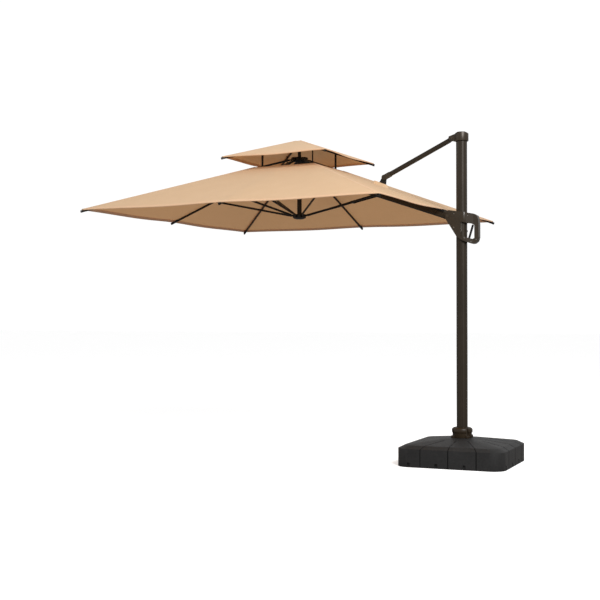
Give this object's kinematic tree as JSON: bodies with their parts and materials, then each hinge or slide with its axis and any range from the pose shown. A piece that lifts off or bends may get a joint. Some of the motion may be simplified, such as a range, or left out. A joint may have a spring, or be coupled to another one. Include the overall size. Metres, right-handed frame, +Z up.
{
  "type": "patio umbrella with base",
  "caption": "Offset patio umbrella with a square double-top canopy hung from a boom and strut, a sliding handle on a turning mast, and a square weighted base.",
  "frame": {"origin": "on the mast's axis, at the floor under the base", "axes": "+Z up along the mast; the canopy hangs out towards -X, over the boom; +Y completes the frame"},
  "size_m": [3.3882, 2.7774, 2.8055],
  "materials": {
    "tank_plastic": "blow-moulded charcoal plastic with a fine texture",
    "ballast": "water or sand filling, sealed inside the tank",
    "black_plastic": "moulded black nylon",
    "bronze_aluminium": "bronze powder coat, satin",
    "bronze_casting": "bronze powder coat on a casting, satin",
    "bronze_plastic": "moulded bronze-brown plastic, slightly glossy",
    "black_steel": "black powder coat, satin",
    "bare_steel": "zinc-plated steel",
    "galvanised": "black painted plate",
    "nylon": "natural nylon",
    "grip_rubber": "soft black grip",
    "cord": "braided polyester cord",
    "canopy_cloth": "beige woven polyester, plain weave"
  },
  "bodies": {
    "base": {"base_tank": "tank_plastic", "ballast_fill": "ballast", "fill_cap": "black_plastic", "base_spindle": "galvanised", "base_collar": "bronze_plastic", "collar_bolts": "bare_steel"},
    "mast": {"mast_tube": "bronze_aluminium", "mast_bushes": "nylon", "mast_cap": "bronze_casting", "strut_pin": "bare_steel"},
    "slider": {"slider_shell_near": "bronze_plastic", "slider_shell_far": "bronze_plastic", "slider_screws": "bare_steel", "slider_liner": "nylon", "boom_pin": "bare_steel", "crank_housing": "bronze_plastic"},
    "boom": {"boom_tube": "bronze_aluminium", "boom_root": "bronze_casting", "strut_bracket": "black_steel", "main_hub": "black_plastic", "centre_post": "black_steel", "crown_post": "black_steel", "crown": "black_plastic", "lift_cord": "cord", "main_canopy": "canopy_cloth", "vent_canopy": "canopy_cloth"},
    "strut": {"strut_tube": "bronze_aluminium", "strut_fittings": "bronze_casting"},
    "trigger": {"trigger": "black_plastic"},
    "crank": {"cord_spool": "black_plastic", "crank_arm": "black_steel"},
    "crank_knob": {"crank_knob": "grip_rubber"},
    "runner": {"runner": "black_plastic"},
    "rib_boom_side": {"rib_boom_side": "black_steel"},
    "stretcher_boom_side": {"stretcher_boom_side": "black_steel"},
    "rib_right_back_corner": {"rib_right_back_corner": "black_steel"},
    "stretcher_right_back_corner": {"stretcher_right_back_corner": "black_steel"},
    "vent_rib_right_back": {"vent_rib_right_back": "black_steel"},
    "vent_link_right_back": {"vent_link_right_back": "black_steel"},
    "rib_back": {"rib_back": "black_steel"},
    "stretcher_back": {"stretcher_back": "black_steel"},
    "rib_left_back_corner": {"rib_left_back_corner": "black_steel"},
    "stretcher_left_back_corner": {"stretcher_left_back_corner": "black_steel"},
    "vent_rib_left_back": {"vent_rib_left_back": "black_steel"},
    "vent_link_left_back": {"vent_link_left_back": "black_steel"},
    "rib_outer_side": {"rib_outer_side": "black_steel"},
    "stretcher_outer_side": {"stretcher_outer_side": "black_steel"},
    "rib_left_front_corner": {"rib_left_front_corner": "black_steel"},
    "stretcher_left_front_corner": {"stretcher_left_front_corner": "black_steel"},
    "vent_rib_left_front": {"vent_rib_left_front": "black_steel"},
    "vent_link_left_front": {"vent_link_left_front": "black_steel"},
    "rib_front": {"rib_front": "black_steel"},
    "stretcher_front": {"stretcher_front": "black_steel"},
    "rib_right_front_corner": {"rib_right_front_corner": "black_steel"},
    "stretcher_right_front_corner": {"stretcher_right_front_corner": "black_steel"},
    "vent_rib_right_front": {"vent_rib_right_front": "black_steel"},
    "vent_link_right_front": {"vent_link_right_front": "black_steel"}
  },
  "joints": [
    {"name": "mast_turn", "type": "hinge", "parent": "base", "child": "mast", "pos_m": [0, 0, 0], "axis": [0, 0, 1], "continuous": true},
    {"name": "slider_slide", "type": "slide", "parent": "mast", "child": "slider", "axis": [0, 0, 1], "range_m": [-0.2, 0.06]},
    {"name": "boom_tilt", "type": "hinge", "parent": "slider", "child": "boom", "pos_m": [-0.105, 0, 2.067], "axis": [0, 1, 0], "range_deg": [-2.78, 9.14]},
    {"name": "strut_swing", "type": "hinge", "parent": "mast", "child": "strut", "pos_m": [-0.075, 0, 2.722], "axis": [0, 1, 0], "range_deg": [-10.71, 3.25]},
    {"name": "trigger_squeeze", "type": "hinge", "parent": "slider", "child": "trigger", "pos_m": [0.062, 0, 1.868], "axis": [0, 1, 0], "range_deg": [0, 6], "stiffness_Nm_per_rad": 4, "springref_deg": -5.73},
    {"name": "runner_slide", "type": "slide", "parent": "boom", "child": "runner", "axis": [0, 0, 1], "range_m": [-1.20498, 0], "deforming": ["main_canopy", "vent_canopy", "lift_cord"]},
    {"name": "crank_turn", "type": "hinge", "parent": "slider", "child": "crank", "pos_m": [-0.016, 0, 2.044], "axis": [0, 1, 0], "range_deg": [0, 4320]},
    {"name": "crank_knob_spin", "type": "hinge", "parent": "crank", "child": "crank_knob", "pos_m": [-0.016, 0, 1.949], "axis": [0, 1, 0], "continuous": true},
    {"name": "rib_fold_boom_side", "type": "hinge", "parent": "boom", "child": "rib_boom_side", "pos_m": [-1.482, 0, 2.64], "axis": [0, 1, 0], "range_deg": [0, 63.47]},
    {"name": "stretcher_fold_boom_side", "type": "hinge", "parent": "rib_boom_side", "child": "stretcher_boom_side", "pos_m": [-0.66519, 0, 2.29988], "axis": [0, 1, 0], "range_deg": [-137.32, 0]},
    {"name": "rib_fold_right_back_corner", "type": "hinge", "parent": "boom", "child": "rib_right_back_corner", "pos_m": [-1.48816, 0.04384, 2.64], "axis": [-0.7071, 0.7071, 0], "range_deg": [0, 67.39]},
    {"name": "stretcher_fold_right_back_corner", "type": "hinge", "parent": "rib_right_back_corner", "child": "stretcher_right_back_corner", "pos_m": [-0.90987, 0.62213, 2.39349], "axis": [-0.7071, 0.7071, 0], "range_deg": [-133.03, 0]},
    {"name": "vent_rib_fold_right_back", "type": "hinge", "parent": "boom", "child": "vent_rib_right_back", "pos_m": [-1.51079, 0.02121, 2.79], "axis": [-0.7071, 0.7071, 0], "range_deg": [0, 54.12]},
    {"name": "vent_link_fold_right_back", "type": "hinge", "parent": "rib_right_back_corner", "child": "vent_link_right_back", "pos_m": [-1.28522, 0.24678, 2.55969], "axis": [-0.7071, 0.7071, 0], "range_deg": [-46.17, 0]},
    {"name": "rib_fold_back", "type": "hinge", "parent": "boom", "child": "rib_back", "pos_m": [-1.532, 0.045, 2.64], "axis": [-1, 0, 0], "range_deg": [0, 61.51]},
    {"name": "stretcher_fold_back", "type": "hinge", "parent": "rib_back", "child": "stretcher_back", "pos_m": [-1.532, 0.86681, 2.29791], "axis": [-1, 0, 0], "range_deg": [-133.71, 0]},
    {"name": "rib_fold_left_back_corner", "type": "hinge", "parent": "boom", "child": "rib_left_back_corner", "pos_m": [-1.57584, 0.04384, 2.64], "axis": [-0.7071, -0.7071, 0], "range_deg": [0, 67.39]},
    {"name": "stretcher_fold_left_back_corner", "type": "hinge", "parent": "rib_left_back_corner", "child": "stretcher_left_back_corner", "pos_m": [-2.15413, 0.62213, 2.39349], "axis": [-0.7071, -0.7071, 0], "range_deg": [-133.03, 0]},
    {"name": "vent_rib_fold_left_back", "type": "hinge", "parent": "boom", "child": "vent_rib_left_back", "pos_m": [-1.55321, 0.02121, 2.79], "axis": [-0.7071, -0.7071, 0], "range_deg": [0, 54.12]},
    {"name": "vent_link_fold_left_back", "type": "hinge", "parent": "rib_left_back_corner", "child": "vent_link_left_back", "pos_m": [-1.77878, 0.24678, 2.55969], "axis": [-0.7071, -0.7071, 0], "range_deg": [-46.17, 0]},
    {"name": "rib_fold_outer_side", "type": "hinge", "parent": "boom", "child": "rib_outer_side", "pos_m": [-1.577, 0, 2.64], "axis": [0, -1, 0], "range_deg": [0, 61.51]},
    {"name": "stretcher_fold_outer_side", "type": "hinge", "parent": "rib_outer_side", "child": "stretcher_outer_side", "pos_m": [-2.39881, 0, 2.29791], "axis": [0, -1, 0], "range_deg": [-133.71, 0]},
    {"name": "rib_fold_left_front_corner", "type": "hinge", "parent": "boom", "child": "rib_left_front_corner", "pos_m": [-1.57584, -0.04384, 2.64], "axis": [0.7071, -0.7071, 0], "range_deg": [0, 67.39]},
    {"name": "stretcher_fold_left_front_corner", "type": "hinge", "parent": "rib_left_front_corner", "child": "stretcher_left_front_corner", "pos_m": [-2.15413, -0.62213, 2.39349], "axis": [0.7071, -0.7071, 0], "range_deg": [-133.03, 0]},
    {"name": "vent_rib_fold_left_front", "type": "hinge", "parent": "boom", "child": "vent_rib_left_front", "pos_m": [-1.55321, -0.02121, 2.79], "axis": [0.7071, -0.7071, 0], "range_deg": [0, 54.12]},
    {"name": "vent_link_fold_left_front", "type": "hinge", "parent": "rib_left_front_corner", "child": "vent_link_left_front", "pos_m": [-1.77878, -0.24678, 2.55969], "axis": [0.7071, -0.7071, 0], "range_deg": [-46.17, 0]},
    {"name": "rib_fold_front", "type": "hinge", "parent": "boom", "child": "rib_front", "pos_m": [-1.532, -0.045, 2.64], "axis": [1, 0, 0], "range_deg": [0, 61.51]},
    {"name": "stretcher_fold_front", "type": "hinge", "parent": "rib_front", "child": "stretcher_front", "pos_m": [-1.532, -0.86681, 2.29791], "axis": [1, 0, 0], "range_deg": [-133.71, 0]},
    {"name": "rib_fold_right_front_corner", "type": "hinge", "parent": "boom", "child": "rib_right_front_corner", "pos_m": [-1.48816, -0.04384, 2.64], "axis": [0.7071, 0.7071, 0], "range_deg": [0, 67.39]},
    {"name": "stretcher_fold_right_front_corner", "type": "hinge", "parent": "rib_right_front_corner", "child": "stretcher_right_front_corner", "pos_m": [-0.90987, -0.62213, 2.39349], "axis": [0.7071, 0.7071, 0], "range_deg": [-133.03, 0]},
    {"name": "vent_rib_fold_right_front", "type": "hinge", "parent": "boom", "child": "vent_rib_right_front", "pos_m": [-1.51079, -0.02121, 2.79], "axis": [0.7071, 0.7071, 0], "range_deg": [0, 54.12]},
    {"name": "vent_link_fold_right_front", "type": "hinge", "parent": "rib_right_front_corner", "child": "vent_link_right_front", "pos_m": [-1.28522, -0.24678, 2.55969], "axis": [0.7071, 0.7071, 0], "range_deg": [-46.17, 0]}
  ],
  "couplings": [
    {"joint": "boom_tilt", "follows": "slider_slide", "rad_per_m": -0.79306},
    {"joint": "strut_swing", "follows": "slider_slide", "rad_per_m": 0.9303},
    {"joint": "crank_turn", "follows": "runner_slide", "rad_per_m": -62.5},
    {"joint": "rib_fold_boom_side", "follows": "runner_slide", "rad_per_m": -0.91909},
    {"joint": "stretcher_fold_boom_side", "follows": "runner_slide", "rad_per_m": 1.9886},
    {"joint": "rib_fold_right_back_corner", "follows": "runner_slide", "rad_per_m": -0.97575},
    {"joint": "stretcher_fold_right_back_corner", "follows": "runner_slide", "rad_per_m": 1.9265},
    {"joint": "vent_rib_fold_right_back", "follows": "runner_slide", "rad_per_m": -0.78361},
    {"joint": "vent_link_fold_right_back", "follows": "runner_slide", "rad_per_m": 0.66844},
    {"joint": "rib_fold_back", "follows": "runner_slide", "rad_per_m": -0.8907},
    {"joint": "stretcher_fold_back", "follows": "runner_slide", "rad_per_m": 1.9364},
    {"joint": "rib_fold_left_back_corner", "follows": "runner_slide", "rad_per_m": -0.97575},
    {"joint": "stretcher_fold_left_back_corner", "follows": "runner_slide", "rad_per_m": 1.9265},
    {"joint": "vent_rib_fold_left_back", "follows": "runner_slide", "rad_per_m": -0.78361},
    {"joint": "vent_link_fold_left_back", "follows": "runner_slide", "rad_per_m": 0.66844},
    {"joint": "rib_fold_outer_side", "follows": "runner_slide", "rad_per_m": -0.8907},
    {"joint": "stretcher_fold_outer_side", "follows": "runner_slide", "rad_per_m": 1.9364},
    {"joint": "rib_fold_left_front_corner", "follows": "runner_slide", "rad_per_m": -0.97575},
    {"joint": "stretcher_fold_left_front_corner", "follows": "runner_slide", "rad_per_m": 1.9265},
    {"joint": "vent_rib_fold_left_front", "follows": "runner_slide", "rad_per_m": -0.78361},
    {"joint": "vent_link_fold_left_front", "follows": "runner_slide", "rad_per_m": 0.66844},
    {"joint": "rib_fold_front", "follows": "runner_slide", "rad_per_m": -0.8907},
    {"joint": "stretcher_fold_front", "follows": "runner_slide", "rad_per_m": 1.9364},
    {"joint": "rib_fold_right_front_corner", "follows": "runner_slide", "rad_per_m": -0.97575},
    {"joint": "stretcher_fold_right_front_corner", "follows": "runner_slide", "rad_per_m": 1.9265},
    {"joint": "vent_rib_fold_right_front", "follows": "runner_slide", "rad_per_m": -0.78361},
    {"joint": "vent_link_fold_right_front", "follows": "runner_slide", "rad_per_m": 0.66844}
  ]
}
